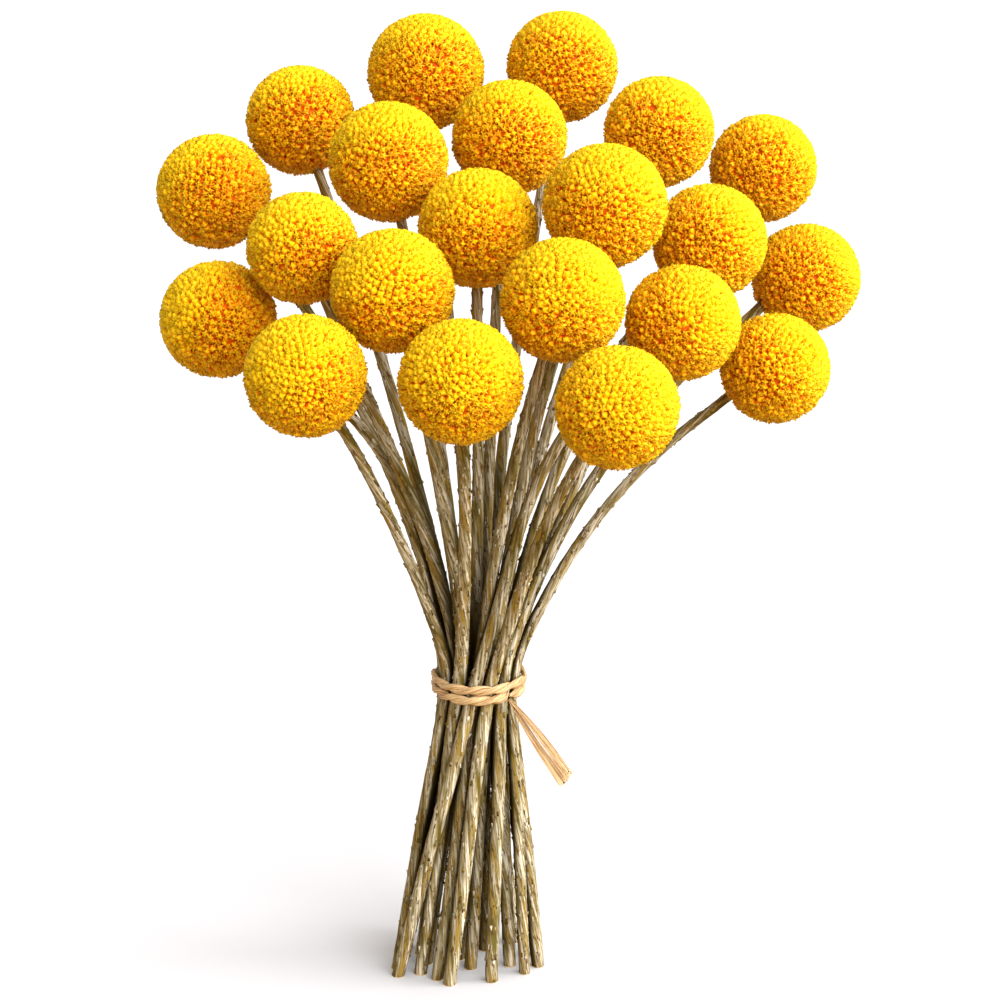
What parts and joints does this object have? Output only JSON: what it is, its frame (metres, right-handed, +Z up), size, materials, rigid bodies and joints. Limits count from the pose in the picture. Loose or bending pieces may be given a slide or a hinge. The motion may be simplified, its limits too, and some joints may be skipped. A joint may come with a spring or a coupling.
{
  "type": "bunch of dried billy buttons",
  "caption": "Dried billy buttons tied in a bunch: yellow globe heads on bare felted stems, gathered in a spiral by twisted raffia and standing on their cut ends.",
  "frame": {"origin": "on the surface that the bunch stands on, below the middle of its bounding box", "axes": "+Z up along the bunch from the cut ends to the heads, +X to the right and +Y to the back, as seen from the side where the raffia's tails hang to the right"},
  "size_m": [0.1834, 0.156, 0.2478],
  "materials": {
    "flower_head": "dry matte golden florets, packed close, with brownish gaps between them",
    "stem": "dry woolly skin in beige grey with ochre streaks along it",
    "raffia": "dull tan palm fibre with a slight gloss along its strands"
  },
  "bodies": {
    "root": {"head_01": "flower_head", "head_02": "flower_head", "head_03": "flower_head", "head_04": "flower_head", "head_05": "flower_head", "head_06": "flower_head", "head_07": "flower_head", "head_08": "flower_head", "head_09": "flower_head", "head_10": "flower_head", "head_11": "flower_head", "head_12": "flower_head", "head_13": "flower_head", "head_14": "flower_head", "head_15": "flower_head", "head_16": "flower_head", "head_17": "flower_head", "head_18": "flower_head", "head_19": "flower_head", "head_20": "flower_head", "head_21": "flower_head", "stem_01": "stem", "stem_02": "stem", "stem_03": "stem", "stem_04": "stem", "stem_05": "stem", "stem_06": "stem", "stem_07": "stem", "stem_08": "stem", "stem_09": "stem", "stem_10": "stem", "stem_11": "stem", "stem_12": "stem", "stem_13": "stem", "stem_14": "stem", "stem_15": "stem", "stem_16": "stem", "stem_17": "stem", "stem_18": "stem", "stem_19": "stem", "stem_20": "stem", "stem_21": "stem", "raffia_tie": "raffia"}
  },
  "joints": []
}
